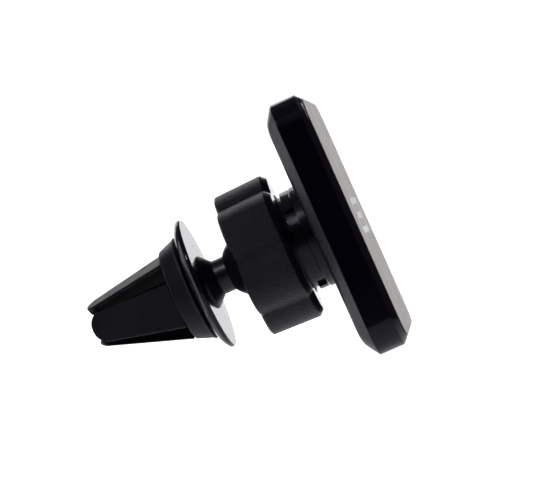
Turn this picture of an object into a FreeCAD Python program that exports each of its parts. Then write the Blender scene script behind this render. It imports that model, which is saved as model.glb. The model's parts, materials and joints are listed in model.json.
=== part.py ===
"""Magnetic car phone mount: a four-jaw vent clip, a ball joint locked by a lobed clamp nut,
and a square magnetic plate with a soft pad.

Everything is drawn about the ball's centre, with x along the joint towards the phone and z up,
in millimetres. The whole mount is then moved so that the origin lies between the jaws, where the
vent blade goes.
"""
import FreeCAD, Part
import math
import os

V = FreeCAD.Vector
CENTRE = V(0, 0, 0)
ALONG = V(1, 0, 0)

# Ball joint
BALL_R = 8.5
NECK_R = 4.55
HUB_R = 7.15
SLIP = 0.05                      # clearance of a sliding or locating fit

# Vent clip
JAW_TIP_X = -44.6
JAW_ROOT_X = -21.6
JAW_ROOT_OFFSET = 10.55          # axis to the outer face of a jaw
JAW_TIP_OFFSET = 5.05
JAW_ROOT_HALF = 6.3              # half the width of a jaw's outer face
JAW_TIP_HALF = 3.9
JAW_EDGE = 0.45                  # bevel along a jaw's outer edges
JAW_SKIN = 1.0                   # rubber skin
LEG_ROOT_INNER = 5.0             # axis to the inside of a leg at its root
LIP_INNER = 3.1                  # axis to the inside of the gripping lip
BLADE_X = -35.0                  # middle of the gripped blade
CLIP_ROLL = 12.0
JAW_SET = 4.4                    # upward set of the flexible jaws against the plug

# Collar and flange
COLLAR_SMALL_R = 12.1
COLLAR_BIG_R = 13.85
COLLAR_END_X = -16.5
COLLAR_WALL = 1.1
FLANGE_BACK_X = -16.1
FLANGE_FACE_X = -13.2
FLANGE_R = 17.6
FLANGE_SEAT_R = 13.2
FLANGE_RIM = 1.1
KEY_FLATS = 5.5                  # hexagonal key of the ball stud
SCREW_R = 1.5

# Clamp nut
NUT_BACK_X = -3.3
NUT_CHAMFER_X = 9.95
NUT_FRONT_X = 11.3
NUT_BORE_R = 13.38
NUT_WALL = 1.7
NUT_OPENING_R = 8.3
LOBES = 6
LOBE_CENTRE = 10.0
LOBE_BACK_R = 9.05
LOBE_FRONT_R = 9.5
VALLEY_FILLET = 0.7
VALLEY_ANGLE = 5.5               # one valley faces the near side, just above the axis

# Socket: collet fingers, seat, thread land and lugs
FINGER_R = 11.6
FINGER_TIP_X = -1.2
FINGER_TIP_R = 10.2
TAPER_END_X = 1.6
SLIT_WIDTH = 1.0
SLIT_END_X = 7.5
CUP_R = 9.9
CUP_EDGE_X = 3.6
GRIP_END_X = 0.2
PAD_R = 6.1
PAD_BACK_X = 11.65
CORE_R = 12.3
THREAD_R = 13.3                  # land inside the nut; the screw thread is left plain
THREAD_BACK_X = 8.9
THREAD_FRONT_X = 11.0
LUG_R = 13.3
LUGS = 4
LUG_GAP = 19.0                   # degrees
LUG_GAP_ANGLE = 29.5
LUG_BACK_X = 12.7
LUG_FRONT_X = 14.9
BASE_RING_X = 15.35
BASE_RING_R = 13.5
SOCKET_SCREWS = 3
SOCKET_SCREW_RING = 8.0

# Phone plate
PLATE_BACK_X = 18.2
BEVEL_X = 21.1
PLATE_FRONT_X = 28.8
PLATE_W = 66.5
PLATE_CORNER = 8.4
BEVEL_IN = 4.45
CREASE_ROUND = 0.35              # crisp edge between the bevel and the side
BACK_ROUND = 6.0
FRONT_CHAMFER = 1.3
PARTING_X = 20.9                 # joint between the rear cover and the front frame
WALL = 2.2
COVER_T = 1.7
PANEL_BACK_X = 26.9
PANEL_FRONT_X = 28.1
PAD_FACE_X = 29.2
PAD_W = 62.8
PAD_CORNER = 6.6
PAD_GAP = 0.3
GLUE_T = 0.15
CORNER_SCREW = 25.0              # screw positions, measured along y and z
MAGNETS = 6
MAGNET_R = 5.0
MAGNET_RING = 15.0
TRAY_W = 46.0
YOKE_BACK_X = 22.0
YOKE_T = 1.0
MARK_LENGTH = 34.0
MARK_HEIGHT = 9.6
MARK_LINE = 1.7
MARK_DEPTH = 0.25


def cylinder(x0, x1, radius, y=0.0, z=0.0):
    """Round bar along x."""
    return Part.makeCylinder(radius, x1 - x0, V(x0, y, z), ALONG)


def box(x0, x1, y0, y1, z0, z1):
    """Rectangular block."""
    return Part.makeBox(x1 - x0, y1 - y0, z1 - z0, V(x0, y0, z0))


def turned(points):
    """Solid of revolution about the x axis from its (x, radius) corners."""
    corners = [V(x, 0, radius) for x, radius in points]
    face = Part.Face(Part.makePolygon(corners + corners[:1]))
    return face.revolve(CENTRE, ALONG, 360)


def spun(shape, degrees):
    """Copy of a shape turned about the x axis."""
    copy = shape.copy()
    copy.rotate(CENTRE, ALONG, degrees)
    return copy


def ring_of(shape, count, first=0.0):
    """Compound of copies spaced evenly about the x axis."""
    return Part.makeCompound([spun(shape, first + 360.0 * i / count) for i in range(count)])


def fused_ring(base, shape, count, first=0.0):
    """Base with evenly spaced copies of a feature added to it."""
    for i in range(count):
        base = base.fuse(spun(shape, first + 360.0 * i / count))
    return base.removeSplitter()


def polygon_prism(corners, direction):
    """Prism from a closed outline swept along a vector."""
    return Part.Face(Part.makePolygon(corners + corners[:1])).extrude(direction)


def hexagon(x0, x1, flats):
    """Hexagonal bar along x."""
    reach = flats / math.sqrt(3)
    corners = []
    for i in range(6):
        angle = math.radians(60 * i)
        corners.append(V(x0, reach * math.cos(angle), reach * math.sin(angle)))
    return polygon_prism(corners, V(x1 - x0, 0, 0))


def rounded_square(x, width, corner):
    """Outline of a square with round corners, in the plane at x."""
    half = width / 2
    flat = half - corner
    bend = flat + corner * math.cos(math.radians(45))
    edges = []
    for quarter in range(4):
        side = Part.LineSegment(V(x, -flat, half), V(x, flat, half)).toShape()
        arc = Part.Arc(V(x, flat, half), V(x, bend, bend), V(x, half, flat)).toShape()
        for edge in (side, arc):
            edge.rotate(CENTRE, ALONG, -90 * quarter)
            edges.append(edge)
    return Part.Wire(edges)


def square_plate(x0, x1, width, corner):
    """Flat square plate with round corners."""
    return Part.Face(rounded_square(x0, width, corner)).extrude(V(x1 - x0, 0, 0))


def at_corners(y, z):
    """The four (y, z) positions of a square pattern."""
    return [(sy * y, sz * z) for sy in (-1, 1) for sz in (-1, 1)]


def edges_near(shape, test):
    """Edges whose every vertex passes a test."""
    return [e for e in shape.Edges if all(test(v.Point) for v in e.Vertexes)]


# ---------------------------------------------------------------- vent clip

def jaw_offset(x):
    """Distance from the axis to a jaw's outer face."""
    share = (x - JAW_TIP_X) / (JAW_ROOT_X - JAW_TIP_X)
    return JAW_TIP_OFFSET + share * (JAW_ROOT_OFFSET - JAW_TIP_OFFSET)


def jaw_half(x):
    """Half the width of a jaw's outer face."""
    share = (x - JAW_TIP_X) / (JAW_ROOT_X - JAW_TIP_X)
    return JAW_TIP_HALF + share * (JAW_ROOT_HALF - JAW_TIP_HALF)


def jaw_section(x, top, bottom, slant=1.0, bevel=0.0):
    """Cross-section of the upper jaw between two depths below its outer face.

    The flanks lean inwards, so the slots between two jaws have parallel walls. A bevel takes
    off the outer edges.
    """
    outer = jaw_offset(x)
    half = jaw_half(x)
    outline = [(-half + slant * bottom, bottom), (-half + slant * top, top + bevel)]
    if bevel:
        outline += [(-half + slant * top + bevel, top), (half - slant * top - bevel, top)]
    outline += [(half - slant * top, top + bevel), (half - slant * bottom, bottom)]
    corners = [V(x, y, outer - depth) for y, depth in outline]
    return Part.makePolygon(corners + corners[:1])


def jaw_plan():
    """Block that gives a jaw its round end, seen from above."""
    shoulder = JAW_TIP_X + 2.6
    half = jaw_half(shoulder)
    wide = JAW_ROOT_HALF + 1
    back = JAW_ROOT_X + 1
    end = Part.Arc(V(shoulder, half, 0), V(JAW_TIP_X, 0, 0), V(shoulder, -half, 0)).toShape()
    rest = Part.makePolygon([V(shoulder, -half, 0), V(shoulder, -wide, 0), V(back, -wide, 0),
                             V(back, wide, 0), V(shoulder, wide, 0), V(shoulder, half, 0)])
    return Part.Face(Part.Wire([end] + rest.Edges)).extrude(V(0, 0, JAW_ROOT_OFFSET + 1))


def jaw_skin():
    """Rubber skin of the upper jaw, with the gripping lip at its tip."""
    slab_sections = [jaw_section(x, 0.0, JAW_SKIN, 1.0, JAW_EDGE) for x in (JAW_TIP_X, JAW_ROOT_X + 1)]
    slab = Part.makeLoft(slab_sections, True, True)
    lip_sections = []
    for x in (JAW_TIP_X, JAW_TIP_X + 3.4):
        lip_sections.append(jaw_section(x, 0.0, jaw_offset(x) - LIP_INNER, 0.66, JAW_EDGE))
    lip = Part.makeLoft(lip_sections, True, True)
    skin = slab.fuse(lip).common(jaw_plan())
    low = LIP_INNER - 0.5
    high = JAW_TIP_OFFSET - 0.2
    nose = polygon_prism([V(JAW_TIP_X - 0.1, -9, high), V(JAW_TIP_X + 1.6, -9, low),
                          V(JAW_TIP_X - 3, -9, low), V(JAW_TIP_X - 3, -9, high)], V(0, 18, 0))
    return skin.cut(nose).removeSplitter()


def jaw_leg():
    """Stiff leg of the upper jaw, under its skin."""
    start, root, end = JAW_TIP_X + 3.5, JAW_ROOT_X, JAW_ROOT_X + 1
    sections = [jaw_section(start, JAW_SKIN, jaw_offset(start) - LIP_INNER),
                jaw_section(root, JAW_SKIN, jaw_offset(root) - LEG_ROOT_INNER),
                jaw_section(end, JAW_SKIN, jaw_offset(end) - LEG_ROOT_INNER)]
    return Part.makeLoft(sections, True, True)


def set_jaw(shape, quarter):
    """A jaw part at its quarter turn, with the clip's roll and the jaws' upward set."""
    placed = spun(shape, 90 * quarter + CLIP_ROLL)
    placed.rotate(V(JAW_ROOT_X, 0, 0), V(0, 1, 0), JAW_SET)
    return placed


def set_skin(quarter):
    """One jaw skin, trimmed flush with the plug's front face."""
    return set_jaw(jaw_skin(), quarter).cut(box(JAW_ROOT_X, 0, -20, 20, -20, 20))


def leg_frame():
    """Stiff frame: a tapered plug that carries four legs, one under each jaw skin."""
    plug_small = COLLAR_SMALL_R - COLLAR_WALL
    plug_big = COLLAR_BIG_R - COLLAR_WALL - 0.2
    frame = turned([(JAW_ROOT_X, 0), (JAW_ROOT_X, plug_small), (COLLAR_END_X, plug_big), (COLLAR_END_X, 8.0),
                    (FLANGE_BACK_X, 8.0), (FLANGE_BACK_X, 0)])
    for quarter in range(4):
        frame = frame.fuse(set_jaw(jaw_leg(), quarter))
    frame = frame.removeSplitter()
    frame = frame.cut(cylinder(JAW_ROOT_X - 1, -19.6, 3.2))
    frame = frame.cut(cylinder(JAW_ROOT_X, FLANGE_BACK_X + 1, SCREW_R + SLIP))
    return frame.cut(hexagon(-18.2, FLANGE_BACK_X + 1, KEY_FLATS + 2 * SLIP))


def collar():
    """Rubber collar stretched over the plug, with a small lip at its big end."""
    small, big = COLLAR_SMALL_R, COLLAR_BIG_R
    inner_small, inner_big = small - COLLAR_WALL, big - COLLAR_WALL - 0.2
    return turned([(JAW_ROOT_X, inner_small), (JAW_ROOT_X, small - 0.3), (JAW_ROOT_X + 0.3, small),
                   (COLLAR_END_X - 0.7, big - 0.25), (COLLAR_END_X - 0.45, big + 0.1),
                   (COLLAR_END_X - 0.1, big + 0.1), (COLLAR_END_X, big), (COLLAR_END_X, inner_big)])


def flange_disc():
    """Glossy stop disc with a domed back and a flat face."""
    middle_x = (FLANGE_BACK_X + FLANGE_FACE_X - FLANGE_RIM) / 2 - 0.35
    middle = V(middle_x, 0, (FLANGE_SEAT_R + FLANGE_R) / 2 + 0.3)
    rim_back = V(FLANGE_FACE_X - FLANGE_RIM, 0, FLANGE_R - 0.15)
    dome = Part.Arc(V(FLANGE_BACK_X, 0, FLANGE_SEAT_R), middle, rim_back).toShape()
    rim_front = V(FLANGE_FACE_X, 0, FLANGE_R - 0.3)
    rim = Part.Arc(rim_back, V(FLANGE_FACE_X - 0.5, 0, FLANGE_R), rim_front).toShape()
    rest = Part.makePolygon([V(FLANGE_FACE_X, 0, FLANGE_R - 0.3), V(FLANGE_FACE_X, 0, 0),
                             V(FLANGE_BACK_X, 0, 0), V(FLANGE_BACK_X, 0, FLANGE_SEAT_R)])
    disc = Part.Face(Part.Wire([dome, rim] + rest.Edges)).revolve(CENTRE, ALONG, 360)
    return disc.cut(hexagon(FLANGE_BACK_X - 1, FLANGE_FACE_X + 1, KEY_FLATS + 2 * SLIP))


def ball_stud():
    """Ball, neck and conical hub, with a hexagonal key and a threaded end for the clip screw."""
    neck_x = FLANGE_FACE_X + HUB_R - NECK_R
    hub = turned([(FLANGE_FACE_X, 0), (FLANGE_FACE_X, HUB_R), (FLANGE_FACE_X + 0.35, HUB_R),
                  (neck_x + 0.35, NECK_R), (-5.0, NECK_R), (-5.0, 0)])
    stud = Part.makeSphere(BALL_R).fuse(hub).removeSplitter()
    stud = stud.fuse(hexagon(-18.1, FLANGE_FACE_X + 0.5, KEY_FLATS))
    return stud.cut(cylinder(-18.5, -10.0, SCREW_R)).removeSplitter()


def cross_head_screw(seat_x, tip_x, shank_r, head_r, head_t):
    """Pan-head screw whose head sits at seat_x and points away from its tip."""
    sign = 1 if tip_x > seat_x else -1
    top = seat_x - sign * head_t
    head = turned([(seat_x, 0), (seat_x, head_r), (top + sign * head_t * 0.4, head_r),
                   (top, head_r * 0.7), (top, 0)])
    shank = cylinder(min(seat_x, tip_x), max(seat_x, tip_x), shank_r)
    screw = head.fuse(shank)
    low, high = sorted((top, top + sign * head_t * 0.5))
    arm, slot = head_r * 0.55, head_r * 0.14
    recess = box(low, high, -arm, arm, -slot, slot).fuse(box(low, high, -slot, slot, -arm, arm))
    return screw.cut(recess).removeSplitter()


def clip_screw():
    """Screw from between the jaws into the ball stud; it holds the whole clip together."""
    return cross_head_screw(-19.65, -11.0, SCREW_R - 0.02, 2.8, 1.7)


# ---------------------------------------------------------------- joint

def ball_cup():
    """Nylon cup that bears on the front of the ball."""
    shell = Part.makeSphere(CUP_R).cut(Part.makeSphere(BALL_R + 0.03))
    return shell.common(box(CUP_EDGE_X, 12, -12, 12, -12, 12))


def pressure_pad():
    """Rubber pad that pushes the cup against the ball."""
    return cylinder(7.0, PAD_BACK_X, PAD_R).cut(Part.makeSphere(CUP_R + SLIP))


def thrust_ring():
    """Tapered ring that squeezes the fingers; two keys stop it turning with the nut."""
    slope = (FINGER_R - FINGER_TIP_R) / (TAPER_END_X - FINGER_TIP_X)
    back_x = NUT_BACK_X + NUT_WALL + SLIP
    front_x = TAPER_END_X - 0.1
    back_r = FINGER_TIP_R + SLIP + slope * (back_x - FINGER_TIP_X)
    front_r = FINGER_TIP_R + SLIP + slope * (front_x - FINGER_TIP_X)
    outer = NUT_BORE_R - 0.1
    ring = turned([(back_x, back_r), (back_x, outer), (front_x, outer), (front_x, front_r)])
    key = box(back_x, front_x, -0.4, 0.4, 10.35, outer - 0.5)
    return fused_ring(ring, key, 2)


def lobe_outline(x, lobe_r, inset):
    """Outline of the nut: convex lobes joined by small filleted valleys, set in by an inset."""
    radius = lobe_r - inset
    fillet = VALLEY_FILLET + inset
    half_step = math.radians(180.0 / LOBES)
    reach = (radius + fillet) ** 2 - (LOBE_CENTRE * math.sin(half_step)) ** 2
    valley = LOBE_CENTRE * math.cos(half_step) + math.sqrt(reach)

    def polar(distance, angle):
        return V(x, distance * math.cos(angle), distance * math.sin(angle))

    def tangent(lobe_angle, valley_angle):
        hub = polar(LOBE_CENTRE, lobe_angle)
        towards = polar(valley, valley_angle).sub(hub)
        return hub.add(towards.multiply(radius / (radius + fillet)))

    edges = []
    for i in range(LOBES):
        valley_angle = math.radians(180.0 - VALLEY_ANGLE + 360.0 * i / LOBES)
        lobe = valley_angle + half_step
        start = tangent(lobe, valley_angle)
        end = tangent(lobe, valley_angle + 2 * half_step)
        next_start = tangent(lobe + 2 * half_step, valley_angle + 2 * half_step)
        edges.append(Part.Arc(start, polar(LOBE_CENTRE + radius, lobe), end).toShape())
        bottom = polar(valley - fillet, valley_angle + 2 * half_step)
        edges.append(Part.Arc(end, bottom, next_start).toShape())
    return Part.Wire(edges)


def clamp_nut():
    """Lobed hand nut with a ball opening at its back and a plain bore over the thread land."""
    outlines = [lobe_outline(NUT_BACK_X, LOBE_BACK_R, 0.45),
                lobe_outline(NUT_BACK_X + 0.45, LOBE_BACK_R, 0.0),
                lobe_outline(NUT_CHAMFER_X, LOBE_FRONT_R, 0.0),
                lobe_outline(NUT_FRONT_X, LOBE_FRONT_R, 1.35)]
    body = Part.makeLoft(outlines, True, True)
    opening = turned([(NUT_BACK_X - 1, 0), (NUT_BACK_X - 1, NUT_OPENING_R), (NUT_BACK_X, NUT_OPENING_R),
                      (NUT_BACK_X + NUT_WALL, NUT_OPENING_R + 0.45), (0, NUT_OPENING_R + 0.45), (0, 0)])
    body = body.cut(opening)
    return body.cut(cylinder(NUT_BACK_X + NUT_WALL, NUT_FRONT_X + 1, NUT_BORE_R))


# ---------------------------------------------------------------- socket and plate

def lug_sector(angle, x0, x1, inner, outer):
    """Raised sector of the given angle, centred on the far side of the axis (+y)."""
    full = cylinder(x0, x1, outer).cut(cylinder(x0, x1, inner))
    half = math.radians(angle / 2)
    far = outer * 2
    wedge = polygon_prism([V(x0, 0, 0), V(x0, far * math.cos(half), -far * math.sin(half)), V(x0, far, 0),
                           V(x0, far * math.cos(half), far * math.sin(half))], V(x1 - x0, 0, 0))
    return full.common(wedge)


def socket_screw_places():
    """Angles of the screws that hold the socket to the rear cover."""
    return [90.0 + 360.0 * i / SOCKET_SCREWS for i in range(SOCKET_SCREWS)]


def socket_base():
    """Collet: slit fingers round the ball, the nut's thread land, four lugs and a base ring."""
    body = turned([(FINGER_TIP_X, 0), (FINGER_TIP_X, FINGER_TIP_R), (TAPER_END_X, FINGER_R),
                   (THREAD_BACK_X, FINGER_R), (THREAD_BACK_X, THREAD_R), (THREAD_FRONT_X, THREAD_R),
                   (THREAD_FRONT_X, CORE_R), (BASE_RING_X, CORE_R), (BASE_RING_X, BASE_RING_R),
                   (PLATE_BACK_X, BASE_RING_R), (PLATE_BACK_X, 0)])
    lug = lug_sector(360.0 / LUGS - LUG_GAP, LUG_BACK_X, LUG_FRONT_X, CORE_R - 0.3, LUG_R)
    body = fused_ring(body, lug, LUGS, 180.0 - LUG_GAP_ANGLE + 180.0 / LUGS)
    pocket = Part.makeSphere(CUP_R + SLIP).common(box(GRIP_END_X, 12, -12, 12, -12, 12))
    body = body.cut(pocket)
    body = body.cut(Part.makeSphere(BALL_R + 0.05))
    body = body.cut(cylinder(6.0, PAD_BACK_X + SLIP, PAD_R + SLIP))
    slit = box(FINGER_TIP_X - 1, SLIT_END_X, -SLIT_WIDTH / 2, SLIT_WIDTH / 2, 6.0, 14.0)
    for i in range(4):
        body = body.cut(spun(slit, 90 * i))
    pilot = cylinder(13.4, PLATE_BACK_X + 1, 0.95, SOCKET_SCREW_RING)
    for angle in socket_screw_places():
        body = body.cut(spun(pilot, angle))
    return body


def socket_screws():
    """Three screws from inside the plate into the socket."""
    screw = cross_head_screw(PLATE_BACK_X + COVER_T, 13.8, 0.93, 1.9, 1.4)
    screw.translate(V(0, SOCKET_SCREW_RING, 0))
    return Part.makeCompound([spun(screw, angle) for angle in socket_screw_places()])


def plate_outside():
    """Solid with the outer shape of the phone plate: a swelling bevel behind, a chamfer in front."""
    bevel = Part.makeLoft([rounded_square(PLATE_BACK_X, PLATE_W - 2 * BEVEL_IN, PLATE_CORNER - BEVEL_IN),
                           rounded_square(BEVEL_X, PLATE_W, PLATE_CORNER)], True, True)
    body = bevel.fuse(square_plate(BEVEL_X, PLATE_FRONT_X, PLATE_W, PLATE_CORNER)).removeSplitter()
    for x, radius in ((BEVEL_X, CREASE_ROUND), (PLATE_BACK_X, BACK_ROUND)):
        body = body.makeFillet(radius, edges_near(body, lambda p: abs(p.x - x) < 1e-4))
    return body.makeChamfer(FRONT_CHAMFER, edges_near(body, lambda p: abs(p.x - PLATE_FRONT_X) < 1e-4))


def rear_cover():
    """Back half of the plate: a bevelled shell with a locating rim, screw posts and a yoke rest."""
    shell = plate_outside().common(box(PLATE_BACK_X - 1, PARTING_X, -40, 40, -40, 40))
    inner_x = PLATE_BACK_X + COVER_T
    inside = PLATE_W - 2 * WALL - 2 * SLIP
    rim_corner = PLATE_CORNER - WALL
    rim = square_plate(PARTING_X - 0.4, PARTING_X + 1.7, inside, rim_corner)
    shell = shell.fuse(rim)
    shell = shell.cut(square_plate(inner_x, PARTING_X + 2, PLATE_W - 2 * BEVEL_IN - 1.0, 4.0))
    rest = cylinder(inner_x - 0.1, YOKE_BACK_X, 13.0).cut(cylinder(inner_x, YOKE_BACK_X, 11.4))
    shell = shell.fuse(rest)
    for y, z in at_corners(CORNER_SCREW, CORNER_SCREW):
        shell = shell.fuse(cylinder(inner_x - 0.1, PANEL_BACK_X - SLIP, 2.6, y, z))
    for y, z in at_corners(CORNER_SCREW, CORNER_SCREW):
        shell = shell.cut(cylinder(inner_x + 0.6, PANEL_BACK_X + 1, 0.95, y, z))
    hole = cylinder(PLATE_BACK_X - 1, inner_x + 1, 1.1, SOCKET_SCREW_RING)
    for angle in socket_screw_places():
        shell = shell.cut(spun(hole, angle))
    return shell.removeSplitter()


def front_frame():
    """Front half of the plate: side walls, rounded front edge and the panel under the pad."""
    body = plate_outside().common(box(PARTING_X, PLATE_FRONT_X + 1, -40, 40, -40, 40))
    inside = PLATE_W - 2 * WALL
    body = body.cut(square_plate(PARTING_X - 1, PANEL_BACK_X, inside, PLATE_CORNER - WALL))
    body = body.cut(square_plate(PANEL_FRONT_X, PLATE_FRONT_X + 1, PAD_W + 2 * PAD_GAP, PAD_CORNER + PAD_GAP))
    for y, z in at_corners(CORNER_SCREW, CORNER_SCREW):
        body = body.cut(cylinder(PANEL_BACK_X - 1, PANEL_FRONT_X + 1, 1.15, y, z))
        body = body.cut(Part.makeCone(1.15, 2.1, 0.95, V(PANEL_FRONT_X - 0.95, y, z), ALONG))
    return body


def housing_screws():
    """Four countersunk screws through the front panel into the posts of the rear cover."""
    screw = turned([(PANEL_FRONT_X - 0.05, 0), (PANEL_FRONT_X - 0.05, 1.95), (PANEL_FRONT_X - 0.95, 1.05),
                    (PANEL_FRONT_X - 0.95, 0.93), (21.2, 0.93), (21.2, 0)])
    recess = box(PANEL_FRONT_X - 0.6, PANEL_FRONT_X, -1.0, 1.0, -0.25, 0.25)
    screw = screw.cut(recess.fuse(spun(recess, 90)))
    screws = []
    for y, z in at_corners(CORNER_SCREW, CORNER_SCREW):
        copy = screw.copy()
        copy.translate(V(0, y, z))
        screws.append(copy)
    return Part.makeCompound(screws)


def yoke_plate():
    """Steel plate behind the magnets."""
    plate = square_plate(YOKE_BACK_X, YOKE_BACK_X + YOKE_T, TRAY_W, 4.0)
    for y, z in at_corners(CORNER_SCREW, CORNER_SCREW):
        plate = plate.cut(cylinder(YOKE_BACK_X - 1, YOKE_BACK_X + YOKE_T + 1, 4.0, y, z))
    return plate


def magnet_tray():
    """Plastic tray with a pocket for each magnet."""
    back_x = YOKE_BACK_X + YOKE_T
    tray = square_plate(back_x, PANEL_BACK_X, TRAY_W, 4.0)
    for y, z in at_corners(CORNER_SCREW, CORNER_SCREW):
        tray = tray.cut(cylinder(back_x - 1, PANEL_BACK_X + 1, 4.0, y, z))
    pocket = cylinder(back_x - 1, PANEL_BACK_X + 1, MAGNET_R + SLIP, MAGNET_RING)
    for i in range(MAGNETS):
        tray = tray.cut(spun(pocket, 360.0 * i / MAGNETS))
    return tray


def magnets():
    """Six disc magnets, held between the yoke and the front panel."""
    disc = cylinder(YOKE_BACK_X + YOKE_T, PANEL_BACK_X, MAGNET_R, MAGNET_RING)
    return ring_of(disc, MAGNETS)


def stadium(x0, x1, length, height):
    """Plate with half-round ends, long along y."""
    radius = height / 2
    flat = length / 2 - radius
    edges = [Part.LineSegment(V(x0, -flat, radius), V(x0, flat, radius)).toShape(),
             Part.Arc(V(x0, flat, radius), V(x0, flat + radius, 0), V(x0, flat, -radius)).toShape(),
             Part.LineSegment(V(x0, flat, -radius), V(x0, -flat, -radius)).toShape(),
             Part.Arc(V(x0, -flat, -radius), V(x0, -flat - radius, 0), V(x0, -flat, radius)).toShape()]
    return Part.Face(Part.Wire(edges)).extrude(V(x1 - x0, 0, 0))


def pad_mark():
    """Plain inlaid mark: a capsule outline round a short bar."""
    back_x = PAD_FACE_X - MARK_DEPTH
    outline = stadium(back_x, PAD_FACE_X, MARK_LENGTH, MARK_HEIGHT)
    outline = outline.cut(stadium(back_x - 1, PAD_FACE_X + 1, MARK_LENGTH - 2 * MARK_LINE,
                                  MARK_HEIGHT - 2 * MARK_LINE))
    bar = stadium(back_x, PAD_FACE_X, MARK_LENGTH * 0.6, MARK_LINE)
    return Part.makeCompound([outline, bar])


def phone_pad():
    """Grained soft pad with softened edges, recessed for the mark."""
    pad = square_plate(PANEL_FRONT_X + GLUE_T, PAD_FACE_X, PAD_W, PAD_CORNER)
    front = edges_near(pad, lambda p: abs(p.x - PAD_FACE_X) < 1e-4)
    pad = pad.makeFillet(0.15, front)
    for solid in pad_mark().Solids:
        pad = pad.cut(solid)
    return pad


def pad_adhesive():
    """Sheet of double-sided tape under the pad."""
    return square_plate(PANEL_FRONT_X, PANEL_FRONT_X + GLUE_T, PAD_W - 1.0, PAD_CORNER - 0.5)


# ---------------------------------------------------------------- assembly

def mount_nodes():
    """Every named piece, drawn about the ball's centre."""
    return {
        "leg_frame": leg_frame(),
        "jaw_upper": set_skin(0),
        "jaw_near": set_skin(1),
        "jaw_lower": set_skin(2),
        "jaw_far": set_skin(3),
        "collar": collar(),
        "flange_disc": flange_disc(),
        "ball_stud": ball_stud(),
        "clip_screw": clip_screw(),
        "ball_cup": ball_cup(),
        "pressure_pad": pressure_pad(),
        "thrust_ring": thrust_ring(),
        "clamp_nut": clamp_nut(),
        "socket_base": socket_base(),
        "socket_screws": socket_screws(),
        "rear_cover": rear_cover(),
        "front_frame": front_frame(),
        "housing_screws": housing_screws(),
        "yoke_plate": yoke_plate(),
        "magnet_tray": magnet_tray(),
        "magnets": magnets(),
        "pad_adhesive": pad_adhesive(),
        "phone_pad": phone_pad(),
        "pad_mark": pad_mark(),
    }


def export_all():
    """Move the mount so that the blade's place is the origin, and write each piece."""
    os.makedirs("parts", exist_ok=True)
    blade = set_jaw(Part.Vertex(V(BLADE_X, 0, 0)), 0).Point
    for name, shape in mount_nodes().items():
        shape.translate(V(-blade.x, -blade.y, -blade.z))
        shape.exportStep("parts/" + name + ".step")


export_all()
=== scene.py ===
"""Studio scene of the magnetic car phone mount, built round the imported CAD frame."""
import bmesh
import bpy
import json
import math
from mathutils import Matrix, Vector

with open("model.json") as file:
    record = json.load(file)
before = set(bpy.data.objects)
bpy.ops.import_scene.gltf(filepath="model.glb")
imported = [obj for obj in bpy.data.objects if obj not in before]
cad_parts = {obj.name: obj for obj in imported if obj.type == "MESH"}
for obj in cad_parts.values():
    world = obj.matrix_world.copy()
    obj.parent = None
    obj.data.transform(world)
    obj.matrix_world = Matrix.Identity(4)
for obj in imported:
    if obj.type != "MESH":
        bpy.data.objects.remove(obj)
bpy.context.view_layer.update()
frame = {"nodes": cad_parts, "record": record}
NODES = frame["nodes"]
MM = 0.001

# Places taken from the frame
PITCH = next(j for j in frame["record"]["behaviour"]["joints"] if j["name"] == "ball_pitch")
BALL = Vector(PITCH["pos_m"])

# Camera: seen from the side, a little towards the phone, with the axis rising to the right
CAMERA_PLACE = BALL + Vector((57.4, -622.0, 0.0)) * MM
CAMERA_AIM = BALL + Vector((7.0, 0.0, 2.85)) * MM
CAMERA_ROLL = math.radians(24.0)
LENS_MM = 160.4

# Surroundings that only the camera sees
FLOOR_DROP = 1.0
FLOOR_PALE = 0.76
SURROUND_RADIUS = 5.0
SURROUND_LEVEL = 0.86

# Light that reaches the mount: world, bounce from below, white papers
WORLD_LEVEL = 0.10
WORLD_TINT = (0.90, 0.84, 1.0)
BOUNCE_DROP = 0.352
BOUNCE_HALF = 1.5
BOUNCE_GLOW = 0.20
BACKDROP_LEVEL = 1.02
BACKDROP_AWAY = 1.6
BACKDROP_HALF = 0.75
LEFT_PAPER_PLACE = Vector((-0.9, 0.35, 0.22))      # from the ball
LEFT_PAPER_HALF = 0.5
LEFT_PAPER_LEVEL = 0.36

# Dark card round the camera
DARK_CARD_AWAY = 0.75
DARK_CARD_HALF = 0.60
DARK_CARD_LOW = -0.047
DARK_CARD_HIGH = 0.50

# Tint of the shine on black plastic
PLASTIC_TINT = (0.88, 0.83, 1.0)

# The phone's face: the pad's pale skin, its grey tone brightened with painted grazing reflection, ends just
# below it
PAD_FACE = frame["record"]["mounts"][1]["pos_m"][0]
PAD_TONE_AND_SHEEN_DEPTH = 0.16 * MM
PAD_TONE_AND_SHEEN_FADE = 0.08 * MM

# Places along the joint where the hand nut changes from grained grip to smooth chamfer
NUT_GRIP_BACK = BALL.x - 2.75 * MM
NUT_GRIP_FRONT = BALL.x + 9.75 * MM
NUT_GRIP_FADE = 0.15 * MM


# ---------------------------------------------------------------- node helpers

def new_material(name):
    """Empty node material with a Principled shader and its output."""
    material = bpy.data.materials.new(name)
    material.use_nodes = True
    nodes = material.node_tree.nodes
    return material, nodes, material.node_tree.links, nodes["Principled BSDF"]


def object_coordinates(nodes):
    """Coordinates in metres that stay with the piece when it moves."""
    return nodes.new("ShaderNodeTexCoord").outputs["Object"]


def noise(nodes, links, source, scale, detail=3.0, roughness=0.55):
    """Noise value driven by coordinates."""
    node = nodes.new("ShaderNodeTexNoise")
    node.inputs["Scale"].default_value = scale
    node.inputs["Detail"].default_value = detail
    node.inputs["Roughness"].default_value = roughness
    links.new(source, node.inputs["Vector"])
    return node.outputs["Fac"]


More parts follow.
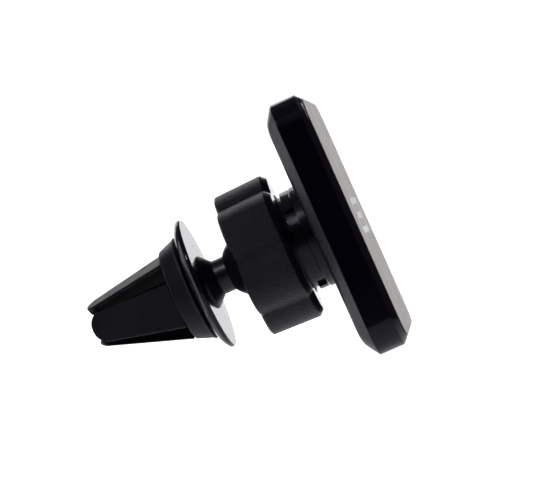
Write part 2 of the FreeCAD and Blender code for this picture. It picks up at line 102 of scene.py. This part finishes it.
def cells(nodes, links, source, scale):
    """Distance to the nearest of scattered points, for pebbled grain."""
    node = nodes.new("ShaderNodeTexVoronoi")
    node.feature = "SMOOTH_F1"
    node.inputs["Scale"].default_value = scale
    node.inputs["Smoothness"].default_value = 0.4
    links.new(source, node.inputs["Vector"])
    return node.outputs["Distance"]


def remap(nodes, links, value, low, high, out_low, out_high):
    """Linear change of range, clamped."""
    node = nodes.new("ShaderNodeMapRange")
    for name, number in (("From Min", low), ("From Max", high), ("To Min", out_low), ("To Max", out_high)):
        node.inputs[name].default_value = number
    links.new(value, node.inputs["Value"])
    return node.outputs["Result"]


def arithmetic(nodes, links, operation, first, second):
    """Math node on two values, each a socket or a number."""
    node = nodes.new("ShaderNodeMath")
    node.operation = operation
    for socket, value in zip(node.inputs, (first, second)):
        if isinstance(value, (int, float)):
            socket.default_value = value
        else:
            links.new(value, socket)
    return node.outputs["Value"]


def mixed_colour(nodes, links, factor, dark, light):
    """Blend of two colours by a value."""
    node = nodes.new("ShaderNodeMix")
    node.data_type = "RGBA"
    links.new(factor, node.inputs["Factor"])
    node.inputs["A"].default_value = (*dark, 1)
    node.inputs["B"].default_value = (*light, 1)
    return node.outputs["Result"]


def bump(nodes, links, height, strength, distance, under=None):
    """Bump normal from a height, on top of another if given."""
    node = nodes.new("ShaderNodeBump")
    node.inputs["Strength"].default_value = strength
    node.inputs["Distance"].default_value = distance
    links.new(height, node.inputs["Height"])
    if under is not None:
        links.new(under, node.inputs["Normal"])
    return node.outputs["Normal"]


def along_axis(nodes, links, place):
    """The x coordinate of a place."""
    node = nodes.new("ShaderNodeSeparateXYZ")
    links.new(place, node.inputs["Vector"])
    return node.outputs["X"]


def stretched(nodes, links, place, x, y, z):
    """Coordinates scaled per axis."""
    node = nodes.new("ShaderNodeVectorMath")
    node.operation = "MULTIPLY"
    node.inputs[1].default_value = (x, y, z)
    links.new(place, node.inputs[0])
    return node.outputs["Vector"]


# ---------------------------------------------------------------- materials

def coloured(nodes, links, shader, place, dark, light, dust_and_sparkle=0.0, cloud_scale=90.0):
    """Mottled base colour, with pale specks if asked for: dust, and on the nut also painted sparkle
    highlights of its grain.
    """
    cloud = noise(nodes, links, place, cloud_scale, 4.0)
    colour = mixed_colour(nodes, links, remap(nodes, links, cloud, 0.35, 0.65, 0.0, 1.0), dark, light)
    if dust_and_sparkle > 0:
        specks = noise(nodes, links, place, 2600.0, 1.0)
        amount = remap(nodes, links, specks, 0.72, 0.80, 0.0, dust_and_sparkle)
        veil = nodes.new("ShaderNodeMix")
        veil.data_type = "RGBA"
        links.new(amount, veil.inputs["Factor"])
        links.new(colour, veil.inputs["A"])
        veil.inputs["B"].default_value = (0.30, 0.29, 0.28, 1)
        colour = veil.outputs["Result"]
    links.new(colour, shader.inputs["Base Color"])


def moulded_plastic(name, dark, light, rough, grain_mm, grain_depth_mm, dust_and_sparkle=0.0, shine=0.5):
    """Matte plastic or rubber with mottling, uneven sheen and a fine moulded grain."""
    material, nodes, links, shader = new_material(name)
    place = object_coordinates(nodes)
    coloured(nodes, links, shader, place, dark, light, dust_and_sparkle)
    smear = noise(nodes, links, place, 260.0, 3.0)
    links.new(remap(nodes, links, smear, 0.3, 0.7, rough - 0.06, rough + 0.07), shader.inputs["Roughness"])
    shader.inputs["Specular IOR Level"].default_value = shine
    shader.inputs["Specular Tint"].default_value = (*PLASTIC_TINT, 1)
    waves = noise(nodes, links, place, 160.0, 2.0)
    grain = noise(nodes, links, place, 1.0 / (grain_mm * MM), 2.0)
    under = bump(nodes, links, waves, 0.25, 0.05 * MM)
    links.new(bump(nodes, links, grain, 0.6, grain_depth_mm * MM, under), shader.inputs["Normal"])
    return material


def polished_plastic(name, dark, light, rough, ior=1.47):
    """Glossy plastic: faint moulding ripple, hairline scratches and a thin film of dust."""
    material, nodes, links, shader = new_material(name)
    place = object_coordinates(nodes)
    coloured(nodes, links, shader, place, dark, light, 0.02)
    handled = noise(nodes, links, place, 70.0, 5.0, 0.6)
    scratch = noise(nodes, links, stretched(nodes, links, place, 900.0, 60.0, 2400.0), 1.0, 1.0)
    marks = remap(nodes, links, scratch, 0.66, 0.74, 0.0, 0.10)
    base = remap(nodes, links, handled, 0.35, 0.7, rough - 0.02, rough + 0.06)
    links.new(arithmetic(nodes, links, "ADD", base, marks), shader.inputs["Roughness"])
    shader.inputs["IOR"].default_value = ior
    shader.inputs["Specular Tint"].default_value = (*PLASTIC_TINT, 1)
    ripple = noise(nodes, links, place, 110.0, 1.0)
    links.new(bump(nodes, links, ripple, 0.12, 0.05 * MM), shader.inputs["Normal"])
    return material


def grip_plastic():
    """Hand nut: spark-eroded grain on the grip, smooth and shinier on its chamfers."""
    material, nodes, links, shader = new_material("nut_plastic")
    place = object_coordinates(nodes)
    x = along_axis(nodes, links, place)
    fade = NUT_GRIP_FADE
    front = remap(nodes, links, x, NUT_GRIP_FRONT - fade, NUT_GRIP_FRONT + fade, 1.0, 0.0)
    back = remap(nodes, links, x, NUT_GRIP_BACK - fade, NUT_GRIP_BACK + fade, 0.0, 1.0)
    grip = arithmetic(nodes, links, "MULTIPLY", front, back)
    # Pale specks on the nut: dust, and painted sparkle highlights of the grain
    coloured(nodes, links, shader, place, (0.0060, 0.0052, 0.0078), (0.0100, 0.0092, 0.0122), 0.015)
    pebble = cells(nodes, links, place, 1.0 / (0.42 * MM))
    fine = noise(nodes, links, place, 1.0 / (0.22 * MM), 2.0)
    grain = arithmetic(nodes, links, "ADD", pebble, fine)
    height = arithmetic(nodes, links, "MULTIPLY", grain, grip)
    links.new(bump(nodes, links, height, 1.0, 0.18 * MM), shader.inputs["Normal"])
    shader.inputs["Specular IOR Level"].default_value = 0.40
    worn = noise(nodes, links, place, 120.0, 4.0)
    grained = remap(nodes, links, worn, 0.3, 0.7, 0.27, 0.38)
    rough = arithmetic(nodes, links, "MULTIPLY", grained, remap(nodes, links, grip, 0.0, 1.0, 0.25, 1.0))
    shader.inputs["Specular Tint"].default_value = (*PLASTIC_TINT, 1)
    links.new(rough, shader.inputs["Roughness"])
    return material


def soft_pad():
    """Grained soft-touch pad: a pale flecked skin on top of a dark rubber body; the skin's paleness and
    flecks are partly the pad's grey grain, partly painted grazing reflection and glints.
    """
    material, nodes, links, shader = new_material("pad_soft")
    place = object_coordinates(nodes)
    flecks = noise(nodes, links, place, 1.0 / (0.55 * MM), 3.0, 0.7)
    patches = noise(nodes, links, place, 130.0, 3.0)
    mixed = arithmetic(nodes, links, "ADD", remap(nodes, links, flecks, 0.35, 0.68, 0.0, 0.75),
                       remap(nodes, links, patches, 0.35, 0.65, 0.0, 0.25))
    # Pale flecked skin colour: partly the pad's grey grain, partly painted reflection of the backdrop and
    # painted grain glints at a grazing view
    skin = mixed_colour(nodes, links, mixed, (0.34, 0.32, 0.305), (0.70, 0.665, 0.635))
    x = along_axis(nodes, links, place)
    top = remap(nodes, links, x, PAD_FACE - PAD_TONE_AND_SHEEN_DEPTH, PAD_FACE - PAD_TONE_AND_SHEEN_FADE, 0.0, 1.0)
    body = nodes.new("ShaderNodeMix")
    body.data_type = "RGBA"
    links.new(top, body.inputs["Factor"])
    body.inputs["A"].default_value = (0.006, 0.005, 0.007, 1)
    links.new(skin, body.inputs["B"])
    links.new(body.outputs["Result"], shader.inputs["Base Color"])
    shader.inputs["Roughness"].default_value = 0.62
    shader.inputs["Sheen Weight"].default_value = 0.15
    shader.inputs["Sheen Roughness"].default_value = 0.4
    pebble = cells(nodes, links, place, 1.0 / (0.7 * MM))
    under = bump(nodes, links, pebble, 0.5, 0.06 * MM)
    links.new(bump(nodes, links, flecks, 0.5, 0.05 * MM, under), shader.inputs["Normal"])
    return material


def plated_metal(name, dark, light, rough, grain_scale):
    """Bare or plated metal with a fine directional grain and dull spots."""
    material, nodes, links, shader = new_material(name)
    place = object_coordinates(nodes)
    coloured(nodes, links, shader, place, dark, light)
    shader.inputs["Metallic"].default_value = 1.0
    drawn = stretched(nodes, links, place, grain_scale, grain_scale * 0.08, grain_scale)
    lines = noise(nodes, links, drawn, 1.0)
    links.new(remap(nodes, links, lines, 0.3, 0.7, rough - 0.08, rough + 0.12), shader.inputs["Roughness"])
    links.new(bump(nodes, links, lines, 0.3, 0.01 * MM), shader.inputs["Normal"])
    return material


def assign(material, *names):
    """Put a material on CAD nodes."""
    for name in names:
        data = NODES[name].data
        data.materials.clear()
        data.materials.append(material)


# ---------------------------------------------------------------- softened shapes

def joined_corners(piece):
    """Join the split corners that an imported mesh has along its sharp edges."""
    weld = piece.modifiers.new("weld", "WELD")
    weld.merge_threshold = 0.001 * MM


def rounded_edges(name, width_mm, segments=3):
    """Moulded plastic and metal never have razor edges: round them by a little."""
    piece = NODES[name]
    joined_corners(piece)
    bevel = piece.modifiers.new("rounding", "BEVEL")
    bevel.width = width_mm * MM
    bevel.segments = segments
    bevel.limit_method = "ANGLE"
    bevel.angle_limit = math.radians(25)
    bevel.miter_outer = "MITER_ARC"
    for face in piece.data.polygons:
        face.use_smooth = True
    normals = piece.modifiers.new("normals", "WEIGHTED_NORMAL")
    normals.keep_sharp = False
    normals.weight = 80


def rubber_skin(name, cell_mm, rounds):
    """Moulded rubber: the whole skin flows, with no crisp edge anywhere."""
    piece = NODES[name]
    remesh = piece.modifiers.new("skin", "REMESH")
    remesh.mode = "VOXEL"
    remesh.voxel_size = cell_mm * MM
    remesh.use_smooth_shade = True
    smooth = piece.modifiers.new("flow", "SMOOTH")
    smooth.factor = 0.5
    smooth.iterations = rounds


# ---------------------------------------------------------------- camera and studio

def add_camera():
    """Camera at the photograph's viewing angle."""
    camera = bpy.data.objects.new("camera", bpy.data.cameras.new("camera"))
    bpy.context.scene.collection.objects.link(camera)
    forward = (CAMERA_AIM - CAMERA_PLACE).normalized()
    level_right = forward.cross(Vector((0, 0, 1))).normalized()
    level_up = level_right.cross(forward)
    right = level_right * math.cos(CAMERA_ROLL) - level_up * math.sin(CAMERA_ROLL)
    up = level_right * math.sin(CAMERA_ROLL) + level_up * math.cos(CAMERA_ROLL)
    turn = Matrix((right, up, -forward)).transposed().to_4x4()
    camera.matrix_world = Matrix.Translation(CAMERA_PLACE) @ turn
    camera.data.lens = LENS_MM
    camera.data.sensor_width = 36.0
    camera.data.clip_start = 0.01
    camera.data.clip_end = 50.0
    bpy.context.scene.camera = camera


def add_world():
    """Even pale surroundings, dimmer than the white backdrop."""
    world = bpy.data.worlds.new("studio")
    world.use_nodes = True
    background = world.node_tree.nodes["Background"]
    background.inputs["Color"].default_value = (*WORLD_TINT, 1)
    background.inputs["Strength"].default_value = WORLD_LEVEL
    bpy.context.scene.world = world
    bpy.context.scene.view_settings.view_transform = "Standard"


def flat_sheet(name, centre, half_u, half_v, facing):
    """Rectangular sheet whose normal looks along a direction."""
    mesh = bpy.data.meshes.new(name)
    corners = [(-half_u, -half_v, 0), (half_u, -half_v, 0), (half_u, half_v, 0), (-half_u, half_v, 0)]
    mesh.from_pydata(corners, [], [(0, 1, 2, 3)])
    sheet = bpy.data.objects.new(name, mesh)
    bpy.context.scene.collection.objects.link(sheet)
    turn = Vector(facing).to_track_quat("Z", "Y").to_matrix().to_4x4()
    sheet.matrix_world = Matrix.Translation(Vector(centre)) @ turn
    return sheet


def glowing_white(name, shade, level):
    """White surface with an even glow."""
    material, nodes, links, shader = new_material(name)
    shader.inputs["Base Color"].default_value = (shade, shade, shade, 1)
    shader.inputs["Roughness"].default_value = 0.8
    shader.inputs["Emission Color"].default_value = (1, 1, 1, 1)
    shader.inputs["Emission Strength"].default_value = level
    return material


def seen_only(staged):
    """Let the camera see a staged object without it lighting or shading the mount."""
    staged.visible_diffuse = False
    staged.visible_glossy = False
    staged.visible_transmission = False
    staged.visible_shadow = False


def add_floor():
    """Pale floor well below the mount, and a nearer sheet that throws soft light up at it."""
    bounce = flat_sheet("floor_bounce", (BALL.x, 0, -BOUNCE_DROP), BOUNCE_HALF, BOUNCE_HALF, (0, 0, 1))
    bounce.data.materials.append(glowing_white("floor_bounce", 0.85, BOUNCE_GLOW))
    bounce.visible_camera = False
    reach = SURROUND_RADIUS
    floor = flat_sheet("floor", (BALL.x, 0, -FLOOR_DROP), reach, reach, (0, 0, 1))
    floor.data.materials.append(glowing_white("floor", 0.85, FLOOR_PALE))
    seen_only(floor)


def add_surround():
    """Pale room all round, for views from other sides."""
    mesh = bpy.data.meshes.new("surround")
    ball = bmesh.new()
    bmesh.ops.create_uvsphere(ball, u_segments=48, v_segments=24, radius=SURROUND_RADIUS)
    ball.to_mesh(mesh)
    ball.free()
    surround = bpy.data.objects.new("surround", mesh)
    bpy.context.scene.collection.objects.link(surround)
    surround.data.materials.append(glowing_white("surround", 0.05, SURROUND_LEVEL))
    seen_only(surround)


def add_lit_paper(name, centre, half, facing, level):
    """Glowing white paper that also draws bright rims and long soft reflections."""
    paper = flat_sheet(name, centre, half, half, facing)
    paper.data.materials.append(glowing_white(name, 0.9, level))
    return paper


def add_papers():
    """White backdrop behind the mount, and a smaller paper on its vent side, hidden from the camera."""
    towards = (CAMERA_PLACE - BALL).normalized()
    add_lit_paper("backdrop", BALL - towards * BACKDROP_AWAY, BACKDROP_HALF, towards, BACKDROP_LEVEL)
    left_place = BALL + LEFT_PAPER_PLACE
    left = add_lit_paper("left_paper", left_place, LEFT_PAPER_HALF, (1, 0, 0), LEFT_PAPER_LEVEL)
    left.visible_camera = False


def add_dark_card():
    """Black card round the camera, seen only in reflections, as in a studio."""
    middle = (DARK_CARD_LOW + DARK_CARD_HIGH) / 2
    half_height = (DARK_CARD_HIGH - DARK_CARD_LOW) / 2
    place = BALL + Vector((0.0, -DARK_CARD_AWAY, middle))
    card = flat_sheet("dark_card", place, DARK_CARD_HALF, half_height, (0, 1, 0))
    material, nodes, links, shader = new_material("dark_card")
    shader.inputs["Base Color"].default_value = (0.002, 0.002, 0.003, 1)
    shader.inputs["Specular IOR Level"].default_value = 0.0
    card.data.materials.append(material)
    card.visible_camera = False
    card.visible_shadow = False


def add_softbox(name, place, size, power):
    """Area light aimed at the ball."""
    light = bpy.data.lights.new(name, "AREA")
    light.shape = "RECTANGLE"
    light.size, light.size_y = size
    light.energy = power
    lamp = bpy.data.objects.new(name, light)
    bpy.context.scene.collection.objects.link(lamp)
    place = Vector(place)
    turn = (place - BALL).to_track_quat("Z", "Y").to_matrix().to_4x4()
    lamp.matrix_world = Matrix.Translation(place) @ turn


def add_lights():
    """Small key from the front, a light on the phone's face and a rim light from behind and above."""
    add_softbox("key", (-0.15, -0.55, 0.75), (0.12, 0.12), 1.6)
    add_softbox("face_light", (0.80, 0.50, 0.35), (0.4, 0.4), 4.6)
    add_softbox("back_fill", (-0.15, 0.85, 0.62), (0.5, 0.35), 0.9)


def dress_clip():
    """Vent clip: rubber-covered jaws and collar on a stiff frame, with the polished stop disc."""
    rubber = moulded_plastic("jaw_rubber", (0.0046, 0.0040, 0.0070), (0.0082, 0.0074, 0.0118),
                             rough=0.50, grain_mm=0.35, grain_depth_mm=0.06, dust_and_sparkle=0.012, shine=0.24)
    jaws = ("jaw_upper", "jaw_near", "jaw_lower", "jaw_far")
    assign(rubber, *jaws)
    collar_rubber = moulded_plastic("collar_rubber", (0.0050, 0.0044, 0.0074), (0.0088, 0.0080, 0.0124),
                                    rough=0.44, grain_mm=0.3, grain_depth_mm=0.03, dust_and_sparkle=0.012, shine=0.28)
    assign(collar_rubber, "collar")
    frame_plastic = moulded_plastic("frame_plastic", (0.008, 0.008, 0.01), (0.014, 0.014, 0.016),
                                    rough=0.6, grain_mm=0.4, grain_depth_mm=0.02, dust_and_sparkle=0.0, shine=0.3)
    assign(frame_plastic, "leg_frame")
    disc_gloss = polished_plastic("disc_gloss", (0.004, 0.0035, 0.006), (0.007, 0.006, 0.010),
                                  rough=0.07, ior=1.42)
    assign(disc_gloss, "flange_disc")
    for name in jaws:
        rubber_skin(name, 0.22, 5)
    rubber_skin("collar", 0.22, 4)
    rounded_edges("leg_frame", 0.12, 2)


def dress_joint():
    """Ball stud, its bearing pieces and the hand nut."""
    stud_black = polished_plastic("stud_black", (0.006, 0.004, 0.008), (0.010, 0.008, 0.013),
                                  rough=0.33, ior=1.5)
    assign(stud_black, "ball_stud")
    cup_nylon = moulded_plastic("cup_nylon", (0.60, 0.58, 0.53), (0.74, 0.72, 0.67),
                                rough=0.42, grain_mm=0.5, grain_depth_mm=0.01)
    assign(cup_nylon, "ball_cup")
    pressure_rubber = moulded_plastic("pressure_rubber", (0.02, 0.02, 0.02), (0.04, 0.04, 0.04),
                                      rough=0.7, grain_mm=0.3, grain_depth_mm=0.03)
    assign(pressure_rubber, "pressure_pad")
    ring_nylon = moulded_plastic("ring_nylon", (0.012, 0.012, 0.012), (0.02, 0.02, 0.02),
                                 rough=0.45, grain_mm=0.4, grain_depth_mm=0.01)
    assign(ring_nylon, "thrust_ring")
    assign(grip_plastic(), "clamp_nut")
    rounded_edges("clamp_nut", 0.2)


def dress_inside():
    """Screws, magnets and the other pieces inside the plate."""
    screw_steel = plated_metal("screw_steel", (0.45, 0.44, 0.42), (0.62, 0.61, 0.59),
                               rough=0.3, grain_scale=3000.0)
    assign(screw_steel, "clip_screw", "socket_screws", "housing_screws")
    yoke_steel = plated_metal("yoke_steel", (0.38, 0.38, 0.39), (0.52, 0.52, 0.53),
                              rough=0.38, grain_scale=2200.0)
    assign(yoke_steel, "yoke_plate")
    magnet_nickel = plated_metal("magnet_nickel", (0.62, 0.60, 0.56), (0.74, 0.72, 0.68),
                                 rough=0.14, grain_scale=1500.0)
    assign(magnet_nickel, "magnets")
    tray_plastic = moulded_plastic("tray_plastic", (0.03, 0.03, 0.03), (0.05, 0.05, 0.05),
                                   rough=0.55, grain_mm=0.4, grain_depth_mm=0.02)
    assign(tray_plastic, "magnet_tray")
    adhesive_film = moulded_plastic("adhesive_film", (0.50, 0.47, 0.38), (0.62, 0.59, 0.50),
                                    rough=0.35, grain_mm=0.6, grain_depth_mm=0.02)
    assign(adhesive_film, "pad_adhesive")


def dress_plate():
    """Socket, two-part plate and the soft pad with its mark."""
    socket_plastic = moulded_plastic("socket_plastic", (0.0036, 0.0030, 0.0052), (0.0056, 0.0048, 0.0076),
                                     rough=0.22, grain_mm=0.3, grain_depth_mm=0.005, dust_and_sparkle=0.008, shine=0.36)
    assign(socket_plastic, "socket_base")
    cover_gloss = polished_plastic("cover_gloss", (0.006, 0.005, 0.009), (0.010, 0.009, 0.014),
                                   rough=0.28)
    assign(cover_gloss, "rear_cover")
    frame_gloss = polished_plastic("frame_gloss", (0.0026, 0.0016, 0.0058), (0.0036, 0.0024, 0.0078),
                                   rough=0.09, ior=1.42)
    assign(frame_gloss, "front_frame")
    assign(soft_pad(), "phone_pad")
    mark_white = moulded_plastic("mark_white", (0.74, 0.74, 0.73), (0.90, 0.90, 0.89),
                                 rough=0.45, grain_mm=0.3, grain_depth_mm=0.02)
    assign(mark_white, "pad_mark")
    rounded_edges("rear_cover", 0.25)
    rounded_edges("front_frame", 0.15)
    rounded_edges("socket_base", 0.08, 2)


add_camera()
add_world()
add_floor()
add_surround()
add_papers()
add_dark_card()
add_lights()
dress_clip()
dress_joint()
dress_inside()
dress_plate()
